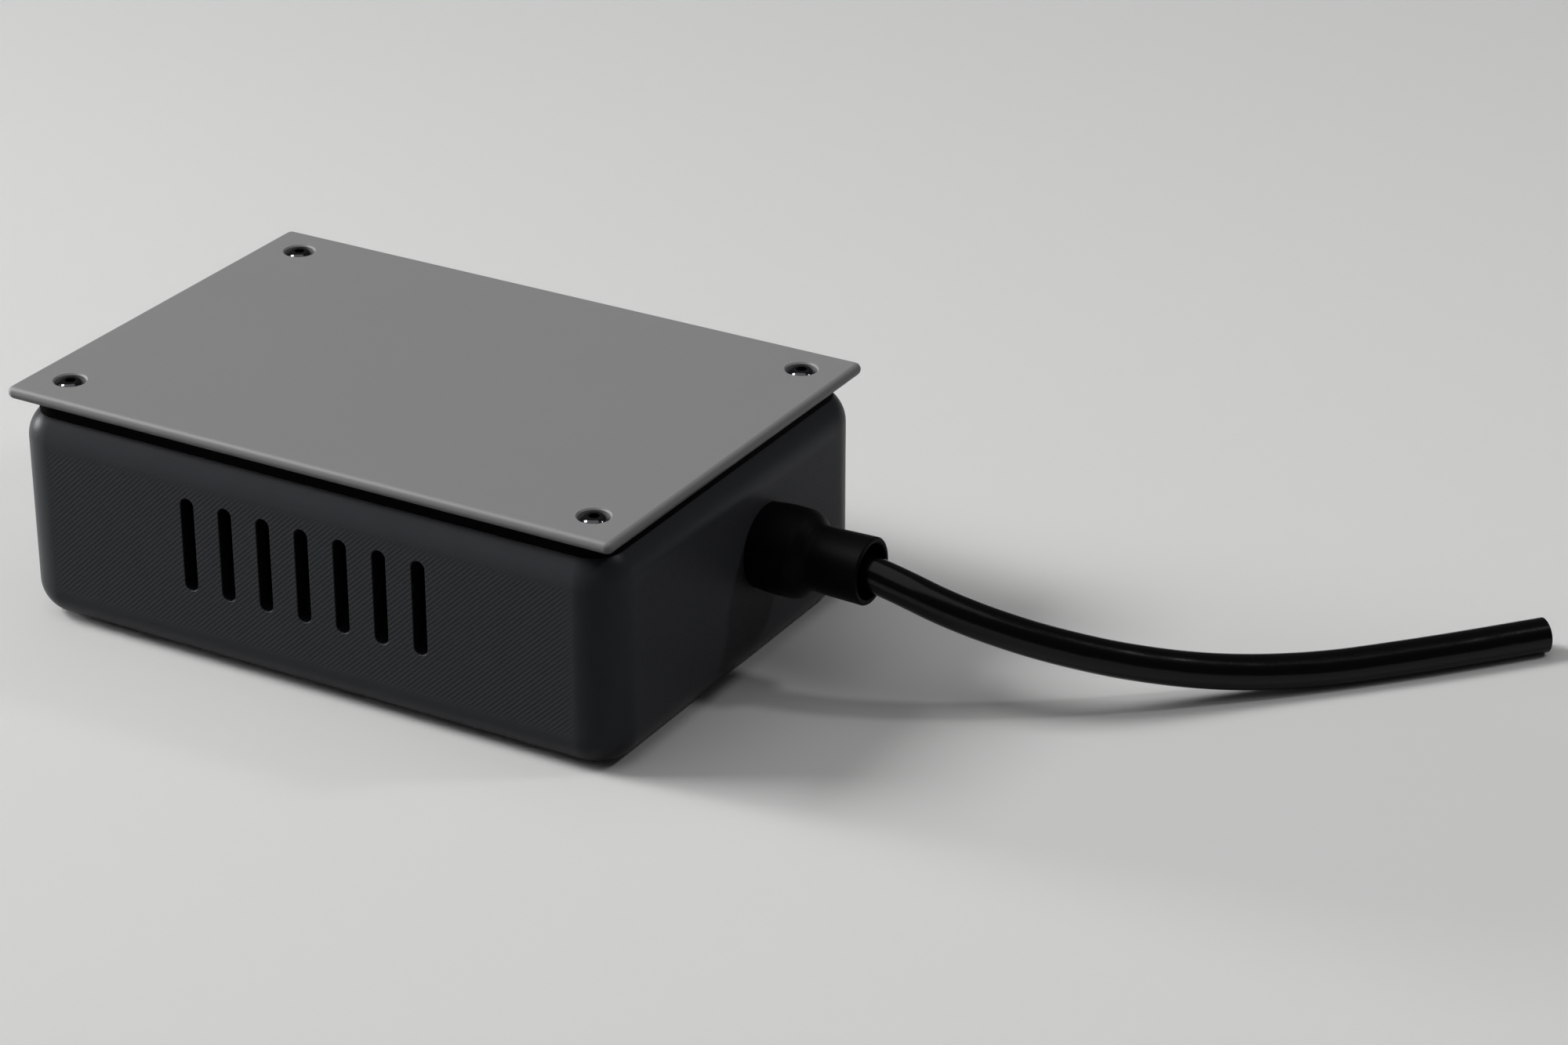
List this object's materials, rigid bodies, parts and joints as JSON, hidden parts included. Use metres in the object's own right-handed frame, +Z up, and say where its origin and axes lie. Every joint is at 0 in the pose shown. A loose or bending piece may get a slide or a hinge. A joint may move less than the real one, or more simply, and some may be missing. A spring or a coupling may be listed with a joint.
{
  "type": "vented electronics enclosure",
  "caption": "Low box with rounded edges, vent slots in its front, a screwed cover plate over a sealing frame, and a lead through a moulded strain relief at one end.",
  "frame": {"origin": "centre of the underside", "axes": "+X along the box to the end that the lead leaves by, +Y away from the vent slots, +Z up"},
  "size_m": [0.2688, 0.1379, 0.0492],
  "materials": {
    "charcoal_plastic": "fine textured satin",
    "grey_plastic": "smooth satin",
    "black_rubber": "smooth",
    "cord_sheath": "glossy",
    "black_nickel": "black nickel on polished steel",
    "zinc_steel": "zinc plated",
    "brass": "turned",
    "black_plastic": "moulded",
    "green_plastic": "moulded",
    "red_plastic": "moulded",
    "board_laminate": "solder resist",
    "tinned_metal": "tinned",
    "clear_glass": "clear",
    "core_iron": "matt",
    "copper_wire": "enamelled",
    "can_sleeve": "shrunk sleeve",
    "black_aluminium": "black anodised",
    "brown_wire": "sheath",
    "blue_wire": "sheath",
    "green_wire": "sheath",
    "tan_lacquer": "lacquer"
  },
  "bodies": {
    "root": {"base_shell": "charcoal_plastic", "sealing_frame": "black_rubber", "cover_plate": "grey_plastic", "cover_screws": "black_nickel", "threaded_inserts": "brass", "strain_relief": "black_rubber", "cord": "cord_sheath", "cord_inner": "cord_sheath", "core_wire_left": "brown_wire", "core_wire_middle": "blue_wire", "core_wire_right": "green_wire", "cord_clamp": "black_plastic", "clamp_screws": "zinc_steel", "circuit_board": "board_laminate", "board_screws": "zinc_steel", "terminal_block": "green_plastic", "terminal_screws": "zinc_steel", "fuse_clips": "tinned_metal", "fuse_tube": "clear_glass", "fuse_caps": "tinned_metal", "transformer_core": "core_iron", "transformer_bobbin": "black_plastic", "transformer_winding": "copper_wire", "choke_core": "core_iron", "choke_winding": "copper_wire", "bridge_rectifier": "black_plastic", "capacitor_front": "can_sleeve", "capacitor_back": "can_sleeve", "film_capacitor": "red_plastic", "heat_sink": "black_aluminium", "regulator": "black_plastic", "regulator_screw": "zinc_steel", "controller_chip": "black_plastic", "resistors": "tan_lacquer"}
  },
  "joints": []
}
